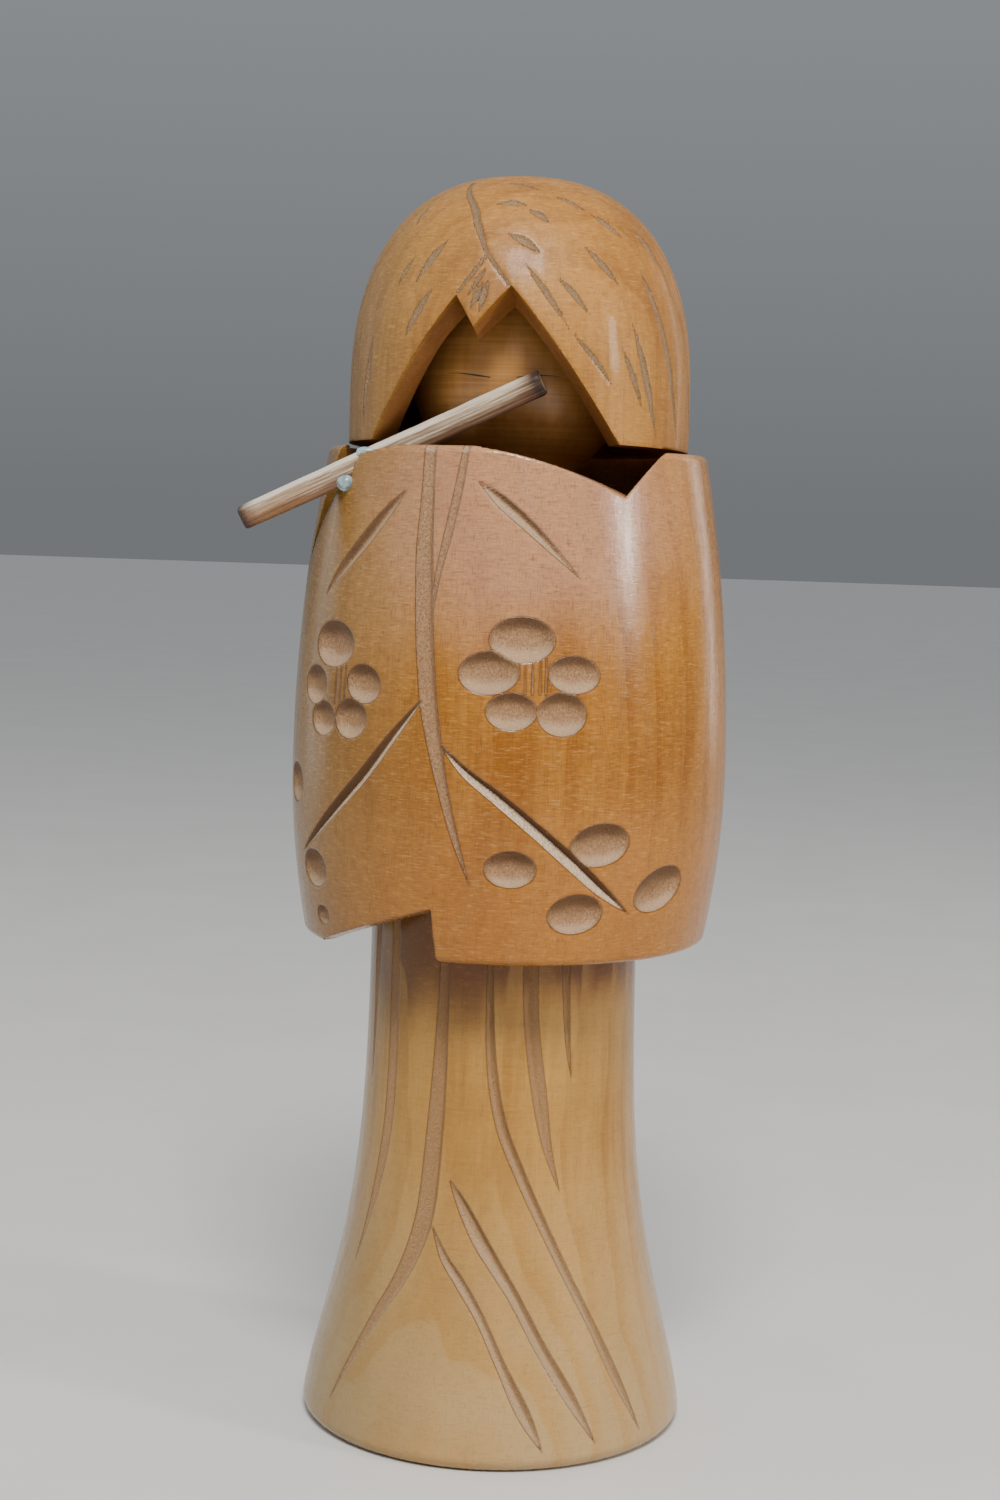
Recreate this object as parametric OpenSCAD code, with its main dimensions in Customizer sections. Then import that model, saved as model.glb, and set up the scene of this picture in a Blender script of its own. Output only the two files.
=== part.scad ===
// Carved wooden doll: a flared skirt pillar, a hollow coat, a ball face under a bobbed
// hair cap, and a bamboo flute glued into a slit in the coat.
// Millimetres. +Z is up, the doll faces -Y, and the origin is the centre of the flat base.
// An azimuth is measured from the front (-Y) towards +X.

/* [Skirt pillar] */
// Radius that the flared foot tends to
foot_r = 34.2; // [33:0.1:35]
// Radius of the slender part inside the coat
waist_r = 23.6; // [22:0.1:24]
// Height over which the flare dies away
flare_h = 31.5; // [28:0.5:34]
// Rounding of the foot's lower edge
foot_edge_r = 2.4; // [1:0.1:3]
// Radius of the tenon on top of the pillar
tenon_r = 9; // [6:0.5:11]
// Length of the tenon
tenon_l = 12; // [8:0.5:12]

/* [Coat] */
// Height of the coat's lower rim
coat_z0 = 87.4; // [86:0.1:88]
// Height of the coat's upper rim
coat_z1 = 172.8; // [172:0.1:173]
// Largest radius of the coat
belly_r = 38.4; // [38:0.1:39]
// Height of the largest radius
belly_z = 117; // [115:0.5:120]
// Radius of the side's curve below the belly
lower_arc_r = 150; // [140:5:200]
// Radius of the side's curve above the belly
upper_arc_r = 290; // [280:5:320]
// Rounding of the rims' outer edges
rim_edge_r = 1.5; // [0.5:0.1:1.8]
// Radius of the hollow below the web
lower_bore_r = 31.4; // [30:0.1:32]
// Radius of the hollow above the web
upper_bore_r = 30.8; // [30.5:0.1:31]
// Height of the web's underside, where the pillar's shoulder sits
web_z0 = 112; // [110:0.5:114]
// Height of the web's top
web_z1 = 140; // [138:0.5:142]

/* [Head] */
// Radius of the face ball
face_r = 19; // [18:0.1:19.2]
// Height of the face ball's centre
face_z = 186; // [185.5:0.1:186.5]
// Radius of the neck
neck_r = 8.5; // [7:0.1:10]
// Outer radius of the hair cap's side
hair_r = 29.8; // [29:0.1:30]
// Radius of the hair cap's hollow
hair_bore_r = 24; // [23.5:0.1:24.5]
// Height of the hair cap's lower rim at its sides
hair_z0 = 173.1; // [173:0.1:173.4]
// Tilt of the hair cap's lower rim, higher in front, in degrees
hair_rim_tilt = 1.7; // [0.5:0.1:2]
// Height where the crown starts to round over
crown_z = 181; // [179:0.5:183]
// Height of the crown's top, which is the whole height
total_h = 220; // [219:0.5:221]
// Fullness of the crown's curve, where 2 is an ellipse
crown_power = 2.45; // [2.2:0.05:2.6]

/* [Fits] */
// Radius of the neck peg
peg_r = 4; // [3:0.5:5]
// Radial clearance of the peg in the web, where the head turns
peg_clearance = 0.05; // [0.02:0.01:0.1]
// Radius of the spigot that joins the face to the hair cap
spigot_r = 5; // [4:0.5:6]

// Width of the glue line in the tenon and spigot joints
glue_line = 0.05; // [0.02:0.01:0.1]

/* [Flute] */
// Radius of the flute
flute_r = 2.35; // [2:0.05:2.4]

/* [Hidden] */
$fn = 96;
// Points along one curve of an outline
STEPS = 16;
// A cut's reach past the face that it opens
OVER = 1;

// The pillar's outline: flare and foot
FLARE_POWER = 1.6;

// The front of the coat's upper rim is one shallow arc that ends in a notch on the doll's
// left. Its plane stands square to this azimuth, and u is the distance to the right in it.
top_azimuth = -3;
top_arc_r = 63;
top_arc_u = -7;
top_arc_z = 173.1;
top_left_u = -26;
notch_u = 23.5;
notch_flank_u = 29.2;
notch_flank_z = 174;

// The slit beside the flute: bottom, mouth corners, and a bend in its back edge
slit_azimuth = -63;
slit_bottom = [-6.7, 151];
slit_bend = [0.2, 164.2];
slit_mouth_z = 174.5;
slit_back_u = 4.2;
slit_front_u = 13.8;

// The stepped lower edge of the front: its step, and where it meets the rim
hem_azimuth = -35;
hem_step_u = 15.2;
hem_step_z = 96.3;
hem_end_u = -12;

// The face opening is cut by a pyramid with its point behind the face. Its outline is taken
// in the plane y = -window_y, as [x, height above window_z].
window_point_y = 24;
window_y = 31;
window_back_y = 4;
window_z = 172;
window_outline = [[-30.7, -1.5], [-7.4, 27.3], [-3.8, 21], [2.5, 28.9], [27.4, -1.5]];

// The hair cap's blank, and the block that trims its rim to the tilt
hair_blank_z0 = 168;
trim_w = 80;
trim_h = 20;

// The face stands on the web with a little air under the neck, and meets the cap in a flat
neck_gap = 0.2;
neck_z0 = web_z1 + neck_gap;
seat_z = 204.5;
face_crown_h = 20;
hollow_spring_z = 188;
hollow_crown_h = 18.5;
spigot_z1 = 211;
peg_z0 = web_z1 - 12;
peg_z1 = neck_z0 + 12;
peg_socket_z0 = peg_z0 - 1;

// The flute's ends, and the two spots of glue at the slit
flute_outer_end = [-44.15, -20.6, 159.8];
flute_inner_end = [7, -21.3, 183.9];
flute_seat_gap = 0.05;
bead_from = [-26.6, -23.3, 165.4];
bead_to = [-24.6, -23.3, 167.0];
bead_r = 1.5;
smear_from = [-24.2, -22.9, 170.6];
smear_to = [-20.6, -23.2, 172.4];
smear_r = 0.8;

// Radius of the skirt pillar at a height
function skirt_r(z) = waist_r + (foot_r - waist_r) * exp(-pow(z / flare_h, FLARE_POWER));

// Radius of the coat at a height: two arcs that meet at the belly
function coat_r(z) =
    belly_r - pow(z - belly_z, 2) / (2 * (z < belly_z ? lower_arc_r : upper_arc_r));

// Points of a circular arc from angle a0 to a1 about a centre
function arc(centre, r, a0, a1) =
    [for (i = [0:STEPS / 2]) let (a = a0 + (a1 - a0) * 2 * i / STEPS)
        centre + r * [cos(a), sin(a)]];

// Points of a quarter of a superellipse, from the side up to the top
function dome(r, z, h, power) =
    [for (i = [0:STEPS]) let (a = 90 * i / STEPS)
        [r * pow(cos(a), 2 / power), z + h * pow(sin(a), 2 / power)]];

// Points along an outline radius(z), between two heights
function coat_side(z0, z1) = [for (i = [0:STEPS]) let (z = z0 + (z1 - z0) * i / STEPS) [coat_r(z), z]];
function skirt_side(z0, z1) = [for (i = [0:STEPS]) let (z = z0 + (z1 - z0) * i / STEPS) [skirt_r(z), z]];

// A prism that points outward at an azimuth, from the axis, with its outline as [u, height]
module radial_cut(azimuth, outline) {
    rotate([0, 0, azimuth])
        rotate([90, 0, 0])
            linear_extrude(belly_r + 10)
                polygon(outline);
}

// A round bar between two points, longer at both ends by the given amount
module bar(from, to, r, extra = 0) {
    run = to - from;
    length = norm(run);
    translate(from)
        rotate([0, acos(run.z / length), atan2(run.y, run.x)])
            translate([0, 0, -extra])
                cylinder(h = length + 2 * extra, r = r);
}

module skirt_pillar() {
    color("burlywood")
        rotate_extrude()
            polygon(concat(
                [[0, 0]],
                arc([skirt_r(foot_edge_r) - foot_edge_r, foot_edge_r], foot_edge_r, -90, 0),
                skirt_side(foot_edge_r + 2, web_z0),
                [[tenon_r, web_z0], [tenon_r, web_z0 + tenon_l], [0, web_z0 + tenon_l]]
            ));
}

module coat_blank() {
    low = coat_z0 + rim_edge_r;
    high = coat_z1 - rim_edge_r;
    rotate_extrude()
        polygon(concat(
            [[0, coat_z0]],
            arc([coat_r(low) - rim_edge_r, low], rim_edge_r, -90, 0),
            coat_side(low + 2, high - 2),
            arc([coat_r(high) - rim_edge_r, high], rim_edge_r, 0, 90),
            [[0, coat_z1]]
        ));
}

// The arc over the front of the upper rim, down to the notch and up its far side
module coat_top_cut() {
    span_left = asin((top_arc_u - top_left_u) / top_arc_r);
    span_right = asin((notch_u - top_arc_u) / top_arc_r);
    radial_cut(top_azimuth, concat(
        arc([top_arc_u, top_arc_z - top_arc_r], top_arc_r, 90 + span_left, 90 - span_right),
        [[notch_flank_u, notch_flank_z], [top_left_u, notch_flank_z]]
    ));
}

module coat_slit_cut() {
    radial_cut(slit_azimuth, [
        slit_bottom,
        [slit_front_u, slit_mouth_z],
        [slit_back_u, slit_mouth_z],
        slit_bend
    ]);
}

module coat_hem_cut() {
    below = coat_z0 - OVER;
    slope = (hem_step_z - coat_z0) / (hem_step_u - hem_end_u);
    radial_cut(hem_azimuth, [
        [hem_step_u, below],
        [hem_step_u, hem_step_z],
        [hem_end_u - OVER / slope, below]
    ]);
}

module coat_shell() {
    color("peru")
        difference() {
            coat_blank();
            translate([0, 0, coat_z0 - OVER])
                cylinder(h = web_z0 - coat_z0 + OVER, r = lower_bore_r);
            translate([0, 0, web_z1])
                cylinder(h = coat_z1 - web_z1 + OVER, r = upper_bore_r);
            translate([0, 0, web_z0 - OVER])
                cylinder(h = tenon_l + glue_line + OVER, r = tenon_r + glue_line);
            translate([0, 0, peg_socket_z0])
                cylinder(h = web_z1 - peg_socket_z0 + OVER, r = peg_r + peg_clearance);
            coat_top_cut();
            coat_slit_cut();
            coat_hem_cut();
            bar(flute_outer_end, flute_inner_end, flute_r + flute_seat_gap, OVER);
        }
}

module face_ball() {
    under = asin(neck_r / face_r);
    seat_a = asin((seat_z - face_z) / face_crown_h);
    color("tan")
        difference() {
            rotate_extrude()
                polygon(concat(
                    [[0, neck_z0], [neck_r, neck_z0]],
                    arc([0, face_z], face_r, under - 90, 0),
                    [for (i = [1:STEPS]) let (a = seat_a * i / STEPS)
                        [face_r * cos(a), face_z + face_crown_h * sin(a)]],
                    [[spigot_r, seat_z], [spigot_r, spigot_z1], [0, spigot_z1]]
                ));
            translate([0, 0, neck_z0 - OVER])
                cylinder(h = peg_z1 - neck_z0 + OVER, r = peg_r);
        }
}

// The hollow of the hair cap: straight sides, then a dome with a flat seat for the face
module hair_hollow() {
    rotate_extrude()
        polygon(concat(
            [[0, hair_blank_z0 - OVER], [hair_bore_r, hair_blank_z0 - OVER]],
            [for (i = [0:STEPS]) let (a = asin((seat_z - hollow_spring_z) / hollow_crown_h) * i / STEPS)
                [hair_bore_r * cos(a), hollow_spring_z + hollow_crown_h * sin(a)]],
            [[0, seat_z]]
        ));
}

// The face opening, wider outside than inside because every side leans to one point
module hair_window() {
    depth = window_y - window_back_y;
    translate([0, -window_y, window_z])
        rotate([90, 0, 180])
            mirror([1, 0, 0])
                linear_extrude(depth, scale = (window_point_y + window_back_y) / (window_point_y + window_y))
                    polygon(window_outline);
}

module hair_cap() {
    color("goldenrod")
        difference() {
            rotate_extrude()
                polygon(concat([[0, hair_blank_z0], [hair_r, hair_blank_z0]],
                    dome(hair_r, crown_z, total_h - crown_z, crown_power)));
            hair_hollow();
            translate([0, 0, seat_z - OVER])
                cylinder(h = spigot_z1 + glue_line - seat_z + OVER, r = spigot_r + glue_line);
            hair_window();
            translate([0, 0, hair_z0])
                rotate([-hair_rim_tilt, 0, 0])
                    translate([-trim_w / 2, -trim_w / 2, -trim_h])
                        cube([trim_w, trim_w, trim_h]);
        }
}

module neck_peg() {
    color("wheat")
        translate([0, 0, peg_z0])
            cylinder(h = peg_z1 - peg_z0, r = peg_r);
}

module flute() {
    color("khaki")
        bar(flute_outer_end, flute_inner_end, flute_r);
}

// The bead fills the corner under the flute, against the coat's side
module glue_bead() {
    color("lightcyan")
        difference() {
            bar(bead_from, bead_to, bead_r);
            coat_shell();
            bar(flute_outer_end, flute_inner_end, flute_r);
        }
}

// The smear fills the corner between the flute and the coat's rim
module glue_smear() {
    color("lightcyan")
        difference() {
            bar(smear_from, smear_to, smear_r);
            coat_shell();
            bar(flute_outer_end, flute_inner_end, flute_r);
        }
}

skirt_pillar();
coat_shell();
face_ball();
hair_cap();
neck_peg();
flute();
glue_bead();
glue_smear();
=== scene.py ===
from math import asin, cos, pi, radians, sin, sqrt

import bmesh
import bpy
import numpy as np
from mathutils import Matrix, Vector


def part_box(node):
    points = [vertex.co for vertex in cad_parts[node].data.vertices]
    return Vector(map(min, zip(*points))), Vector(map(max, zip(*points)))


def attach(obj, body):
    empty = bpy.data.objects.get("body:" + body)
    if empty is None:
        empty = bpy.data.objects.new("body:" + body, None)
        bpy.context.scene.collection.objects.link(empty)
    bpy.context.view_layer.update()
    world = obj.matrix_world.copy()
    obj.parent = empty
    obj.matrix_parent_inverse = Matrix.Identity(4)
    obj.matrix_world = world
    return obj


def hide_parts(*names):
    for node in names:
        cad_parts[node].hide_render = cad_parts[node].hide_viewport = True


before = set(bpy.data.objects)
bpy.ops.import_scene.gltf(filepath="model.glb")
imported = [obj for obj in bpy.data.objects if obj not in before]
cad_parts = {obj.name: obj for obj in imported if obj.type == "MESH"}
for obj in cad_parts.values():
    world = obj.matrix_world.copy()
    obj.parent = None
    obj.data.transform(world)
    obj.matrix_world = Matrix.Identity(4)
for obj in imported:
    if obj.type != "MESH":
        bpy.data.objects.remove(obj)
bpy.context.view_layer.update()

# A turned and carved wooden doll with a bamboo flute. Lengths are in millimetres until a mesh is
# made. An azimuth is in degrees, from the front (-Y) towards +X.
MM = 0.001


def box_mm(name):
    """The two corners of a CAD node's box."""
    low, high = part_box(name)
    return [v / MM for v in low], [v / MM for v in high]


SKIRT_HIGH = box_mm("skirt_pillar")[1]
COAT_LOW, COAT_HIGH = box_mm("coat_shell")
HAIR_HIGH = box_mm("hair_cap")[1]
FACE_LOW, FACE_HIGH = box_mm("face_ball")
BEAD_LOW, BEAD_HIGH = box_mm("glue_bead")
SMEAR_LOW, SMEAR_HIGH = box_mm("glue_smear")
PEG_LOW, PEG_HIGH = box_mm("neck_peg")

# ---------------------------------------------------------------- outlines of the turned pieces
# Names that end in _R are radii, in _Z heights above the table, and in _H and _L sizes.

TINY = 1e-6

# The skirt
FOOT_R, WAIST_R, FLARE_H, FLARE_POWER = 34.2, 23.6, 31.5, 1.6
FOOT_EDGE_R = 2.4
TENON_R, TENON_L = 9.0, 12.0
SHOULDER_Z = SKIRT_HIGH[2] - TENON_L

# The coat, whose web holds the skirt's tenon below and the peg above
BELLY_R, BELLY_Z = COAT_HIGH[0], 117.0
LOWER_ARC_R, UPPER_ARC_R = 150.0, 290.0
RIM_EDGE_R = 1.5
LOWER_BORE_R, UPPER_BORE_R = 31.4, 30.8
WEB_TOP_Z = FACE_LOW[2] - 0.2
SOCKET_Z = PEG_LOW[2] - 1.0
GLUE_LINE = 0.05
PEG_R, PEG_ROOM = PEG_HIGH[0], 0.05

# The cap of hair, with a hollow, a rim and a seat for the face's spigot
HAIR_R, TOP_Z = HAIR_HIGH[0], HAIR_HIGH[2]
CROWN_Z, CROWN_POWER = 181.0, 2.45
HOLLOW_R, HOLLOW_Z, HOLLOW_H = 24.0, 188.0, 18.5
RIM_Z, RIM_TILT = 173.1, radians(1.7)
SEAT_Z, SPIGOT_R, SPIGOT_Z = 204.5, 5.0, FACE_HIGH[2]

# The ball of the face
FACE_R, FACE_Z, FACE_CROWN_H = FACE_HIGH[0], 186.0, 20.0
NECK_R = 8.5


def skirt_r(z):
    """Side of the skirt, with its flare at the foot."""
    return WAIST_R + (FOOT_R - WAIST_R) * np.exp(-np.power(np.maximum(z, 0) / FLARE_H, FLARE_POWER))


def coat_r(z):
    """Side of the coat, with its two rims rounded over."""
    side = lambda h: BELLY_R - (h - BELLY_Z) ** 2 / (2 * np.where(h < BELLY_Z, LOWER_ARC_R, UPPER_ARC_R))
    low, high = COAT_LOW[2] + RIM_EDGE_R, COAT_HIGH[2] - RIM_EDGE_R
    past = np.clip(np.maximum(low - z, z - high), 0, RIM_EDGE_R)
    return side(np.clip(z, low, high)) - RIM_EDGE_R + np.sqrt(RIM_EDGE_R ** 2 - past ** 2)


def hair_r(z):
    """Side of the cap of hair, and its crown."""
    up = np.clip((z - CROWN_Z) / (TOP_Z - CROWN_Z), 0, 1)
    return HAIR_R * np.power(1 - up ** CROWN_POWER, 1 / CROWN_POWER)


def hollow_r(z):
    """Side of the hollow in the cap."""
    up = np.clip((z - HOLLOW_Z) / HOLLOW_H, 0, 1)
    return HOLLOW_R * np.sqrt(1 - up ** 2)


def face_r(z):
    """Side of the face, a ball that is a little flatter above its middle."""
    half_h = np.where(z < FACE_Z, FACE_R, FACE_CROWN_H)
    return FACE_R * np.sqrt(np.clip(1 - ((z - FACE_Z) / half_h) ** 2, 0, 1))


def on_side(azimuth, z, radius):
    """Points at the given azimuths and heights on the surface of revolution radius(z)."""
    a, z = np.radians(azimuth), np.asarray(z, float)
    r = radius(z)
    return np.stack(np.broadcast_arrays(r * np.sin(a), -r * np.cos(a), z), -1)


def ring(azimuth, r, z):
    """One row of a grid: a ring of points with the given radii and heights."""
    a = np.radians(azimuth)
    r, z = np.broadcast_arrays(np.asarray(r, float), np.asarray(z, float))
    return np.stack(np.broadcast_arrays(r * np.sin(a), -r * np.cos(a), z), -1)


def pole(z):
    """A row of one point, on the axis."""
    return np.array([[0.0, 0.0, z]])


def columns(first, last, fine, coarse):
    """Azimuths round a turned piece: fine from first to last, coarse round the back."""
    front = np.linspace(first, last, int(round((last - first) / fine)) + 1)
    back = np.linspace(last, first + 360, int(round((first + 360 - last) / coarse)) + 1)[1:-1]
    return np.concatenate([front, back])


# ---------------------------------------------------------------- carving

def spline(rows, steps=10):
    """A smooth curve through given rows of numbers."""
    p = np.array([rows[0], *rows, rows[-1]], float)
    t = np.linspace(0, 1, steps, endpoint=False)[:, None]
    spans = [
        0.5 * (2 * b + (c - a) * t + (2 * a - 5 * b + 4 * c - d) * t ** 2 + (3 * b - a - 3 * c + d) * t ** 3)
        for a, b, c, d in zip(p, p[1:], p[2:], p[3:])
    ]
    return np.concatenate([*spans, p[-1:]])


MARK_REACH = 1.2        # how far past a groove its mark is measured
THINNEST = 0.01         # least half width of a groove, where it runs out
GOUGE_BACK = -6.0       # points deeper than this under a gouge are out of its reach


def groove(points, radius, line, steep, lean):
    """Depth and mark of a V cut. line holds azimuth, height and half width; the cut's bottom
    leans to the right of a line that runs down. The mark is the distance inside the cut."""
    path = spline(line)
    spots = on_side(path[:, 0], path[:, 1], radius)
    reach = MARK_REACH + path[:, 2].max()
    near = np.all((points > spots.min(0) - reach) & (points < spots.max(0) + reach), axis=1)
    depth, mark = np.zeros(len(points)), np.full(len(points), -1.0)
    if not near.any():
        return depth, mark
    p = points[near][:, None]
    a, run = spots[:-1], spots[1:] - spots[:-1]
    t = np.clip(((p - a) * run).sum(2) / (run ** 2).sum(1), 0, 1)
    off = p - (a + t[..., None] * run)
    dist = np.linalg.norm(off, axis=2)
    k = dist.argmin(1)
    row = np.arange(len(k))
    half = path[k, 2] + t[row, k] * (path[k + 1, 2] - path[k, 2])
    out = a[k] * [1, 1, 0]
    side = np.sign((np.cross(out, run[k]) * off[row, k]).sum(1))
    across = side * dist[row, k] / np.maximum(half, THINNEST)
    wall = np.where(across < lean, (1 + across) / (1 + lean), (1 - across) / (1 - lean))
    depth[near] = steep * half * np.clip(wall, 0, 1)
    mark[near] = half - dist[row, k]
    return depth, mark


def gouge(points, radius, spot, deep):
    """Depth and mark of an oval hollow. spot holds azimuth, height, width, height across, tilt."""
    azimuth, z, width, height, tilt = spot
    a, lift = radians(azimuth), radians(tilt)
    off = points - on_side(azimuth, z, radius)
    east = off @ np.array([cos(a), sin(a), 0.0])
    up = off[:, 2]
    u = (east * cos(lift) + up * sin(lift)) / (width / 2)
    v = (up * cos(lift) - east * sin(lift)) / (height / 2)
    r = np.where(off @ np.array([sin(a), -cos(a), 0.0]) > GOUGE_BACK, np.hypot(u, v), 9.0)
    return deep * height * np.clip(1 - r ** 3, 0, 1), (1 - r) * height / 2


def carve(points, radius, grooves=(), gouges=()):
    """Deepest cut and largest mark at each point."""
    depth, mark = np.zeros(len(points)), np.full(len(points), -1.0)
    cuts = [groove(points, radius, *g) for g in grooves] + [gouge(points, radius, *g) for g in gouges]
    for d, m in cuts:
        depth, mark = np.maximum(depth, d), np.maximum(mark, m)
    return depth, np.clip(mark, -1, 1)


# Each groove: rows of azimuth, height, half width; how steep it is; where its bottom leans
COAT_GROOVES = [
    ([(-17.2, 174, 1.0), (-16.3, 165, 1.15), (-15.8, 156, 1.5), (-14.8, 148, 1.6), (-13.9, 141, 1.6),
      (-12.8, 134.5, 1.55), (-11.7, 129.4, 1.5), (-9.4, 122, 1.2), (-7, 115.3, 0.85), (-4.1, 108.4, 0.6),
      (-0.4, 101, 0.05)], 0.7, 0.4),
    ([(-5.8, 174, 0.5), (-7.3, 166, 0.7), (-9.5, 158, 0.7), (-11.3, 152, 0.5), (-12.4, 146, 0.3)], 0.6, 0.3),
    ([(-14.2, 130.8, 0.25), (-22, 124.5, 0.85), (-31.3, 117.3, 1.1), (-43, 110.5, 0.95), (-53, 105.6, 0.55),
      (-59.5, 102.9, 0.05)], 1.2, -0.25),
    ([(-8.2, 123.8, 0.15), (-2, 119.6, 0.75), (6, 115.6, 1.05), (15.7, 110.4, 1.15), (25, 105.2, 1.25),
      (34, 100.2, 1), (43.2, 95.9, 0.05)], 1.15, 0.5),
    ([(-23.4, 165.2, 0.1), (-28.5, 161.8, 0.95), (-35.9, 156.8, 1.3), (-43.5, 152.2, 1.05),
      (-51.3, 147.3, 0.05)], 0.85, -0.35),
    ([(-1.8, 167, 0.1), (4.5, 163.9, 1.0), (12, 160.1, 1.0), (19, 156, 0.65), (26, 151.7, 0.05)], 1.0, 0.45),
]
# Two hairline cracks beside the lowest gouges
COAT_GROOVES += [
    ([(26.5, 110.6, 0.05), (28.6, 109.9, 0.16), (30.2, 109.4, 0.05)], 1.05, 0),
    ([(45.5, 100.6, 0.05), (48.0, 100.2, 0.14), (50.0, 100.3, 0.05)], 1.05, 0),
]
# Fine upright cuts between the petals of the two flowers
STAMEN_AZIMUTHS = (12.2, 14.0, 15.9, 17.4, -42.2, -40.2, -38.4)
STAMEN_Z = {True: (138.6, 132.8), False: (136.0, 129.2)}
for azimuth in STAMEN_AZIMUTHS:
    high, low = STAMEN_Z[azimuth > 0]
    COAT_GROOVES.append(([(azimuth, high, 0.14), (azimuth, low, 0.22)], 1.0, 0.0))

# Each gouge cut: azimuth, height, width, height across, tilt
PETALS = [
    (11.2, 141.5, 10.9, 7.6, 0), (3.1, 136, 10.2, 7.1, 4), (24.6, 136, 8.9, 6.2, -4),
    (8.9, 129.8, 8.5, 6.2, 0), (21.6, 129.5, 8.4, 7.2, 0),
    (-44.6, 139.2, 11.2, 7.8, 0), (-52.7, 132, 8.3, 6.6, 0), (-31.8, 133, 7.8, 6.5, -10),
    (-47.5, 126.5, 7.5, 5.9, 0), (-35.8, 127, 7.7, 6.7, 8),
]
BERRIES = [
    (9.8, 103.8, 8.7, 6.2, 0), (32.8, 107.9, 10.9, 7.2, 8), (52.6, 99.8, 11.5, 7.2, 20),
    (27.2, 96.3, 9.7, 6.8, 6), (-52.5, 100.4, 8.6, 6.6, 0), (-65, 114.5, 8.5, 6.8, 0),
    (-50, 92.4, 4.2, 3.4, 0),
]
GOUGE_DEPTH = 0.22
COAT_GOUGES = [(spot, GOUGE_DEPTH) for spot in PETALS + BERRIES]

SKIRT_GROOVES = [
    ([(-15.8, 98, 0.7), (-16, 84, 0.85), (-16.3, 74, 1.1), (-16.9, 64, 1.4), (-17.7, 55, 1.6),
      (-19.1, 42.7, 1.7), (-22.5, 35.5, 1.55), (-28, 29, 1.2), (-34.1, 23.5, 0.95), (-41.5, 15.5, 0.6),
      (-48.8, 6.6, 0.05)], 0.7, 0.45),
    ([(-15.5, 39.6, 0.1), (-10, 34.8, 0.7), (-3, 30.6, 0.9), (4.6, 25.1, 0.8), (12, 17.5, 0.85),
      (19, 9.8, 1.15), (24.4, 3.6, 0.05)], 0.85, 0.4),
    ([(-9.8, 47.9, 0.1), (-4, 43.6, 0.95), (3, 38.2, 1.3), (9.5, 33.6, 1.15), (16.5, 28.4, 1),
      (25, 20.3, 1.05), (33.5, 12.2, 1.1), (41.4, 3.9, 0.05)], 0.9, 0.45),
    ([(3.2, 97, 0.4), (3.5, 85, 0.5), (5, 69.8, 0.8), (9.5, 58.5, 0.95), (18.4, 48.9, 0.95),
      (29.9, 37.8, 0.85), (43.4, 24.2, 0.8), (51.8, 13.7, 0.95), (59.3, 4, 0.05)], 0.85, 0.4),
    ([(20.3, 97, 1.1), (20.5, 85, 1.3), (21.6, 74.7, 1.3), (25.6, 62.5, 1.3), (29, 54, 0.8),
      (34.3, 46.2, 0.05)], 0.7, -0.3),
    ([(35.8, 97, 0.8), (36.1, 84.8, 0.75), (37.6, 72.6, 0.5), (39.6, 65.8, 0.05)], 0.8, -0.2),
    ([(-43, 98, 1.1), (-43, 82.7, 1.1), (-42.5, 59.8, 1.2), (-46, 45.4, 1), (-53.2, 30.2, 0.05)], 0.5, 0.3),
    ([(-57, 98, 1.2), (-59, 82, 1.1), (-60, 62, 0.05)], 0.3, 0),
]

HAIR_GROOVES = [
    ([(-33.5, 217.7, 0.35), (-16.6, 213, 0.62), (-11.1, 209.6, 0.68), (-7.3, 206.8, 0.5), (-4.9, 204.7, 0.4),
      (4, 199.4, 0.3)], 0.8, -0.2),
    ([(-4.8, 204.4, 0.3), (-9.5, 200.9, 0.4), (-13.9, 197.9, 0.25)], 0.7, 0),
    ([(-4.6, 202.2, 0.1), (-6.9, 200.1, 0.45), (-10.0, 197.4, 0.1)], 0.9, 0),
    ([(-5.2, 199.6, 0.1), (-6.9, 197.4, 0.6), (-8.8, 195.2, 0.1)], 0.9, 0.3),
    ([(-3.2, 200, 0.1), (-4.4, 197.6, 0.6), (-5.8, 194.4, 0.1)], 0.8, 0.3),
]
# Single knife strokes in the hair: azimuth and height of both ends, and the half width
HAIR_STROKES = [
    (-4.5, 217.4, 18, 216, 0.3), (24, 215, 39.7, 212.4, 0.3), (-5.6, 213.2, 9.9, 213, 0.5),
    (10, 212.3, 19.3, 210, 0.45), (2.1, 208, 15.3, 204.6, 0.5), (40.3, 212.1, 52.6, 208.3, 0.45),
    (62.9, 210.5, 72.2, 204.2, 0.5), (31.7, 206.5, 44.9, 199.6, 0.4), (8.8, 203.3, 24.5, 192.2, 0.35),
    (24.5, 192.2, 41.1, 182.6, 0.3), (20, 201.1, 32.3, 194.4, 0.35), (56.1, 202.8, 62.8, 193.4, 0.4),
    (47.7, 194.7, 59.7, 175.1, 0.5), (58.8, 201.3, 73.3, 175, 0.5), (43.1, 189.9, 52.7, 179.6, 0.4),
    (-22.3, 206.9, -31.8, 199.8, 0.5), (-23.8, 198.7, -32.9, 190.7, 0.5), (-48, 213.5, -45.5, 210.1, 0.35),
    (-49.7, 191.5, -55.2, 175.5, 0.45), (-36, 204, -41, 199, 0.3), (-62, 205, -70, 196, 0.4),
    (-66, 192, -71, 178, 0.45), (84, 206, 90, 192, 0.45), (86, 188, 91, 176, 0.4),
]
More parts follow.
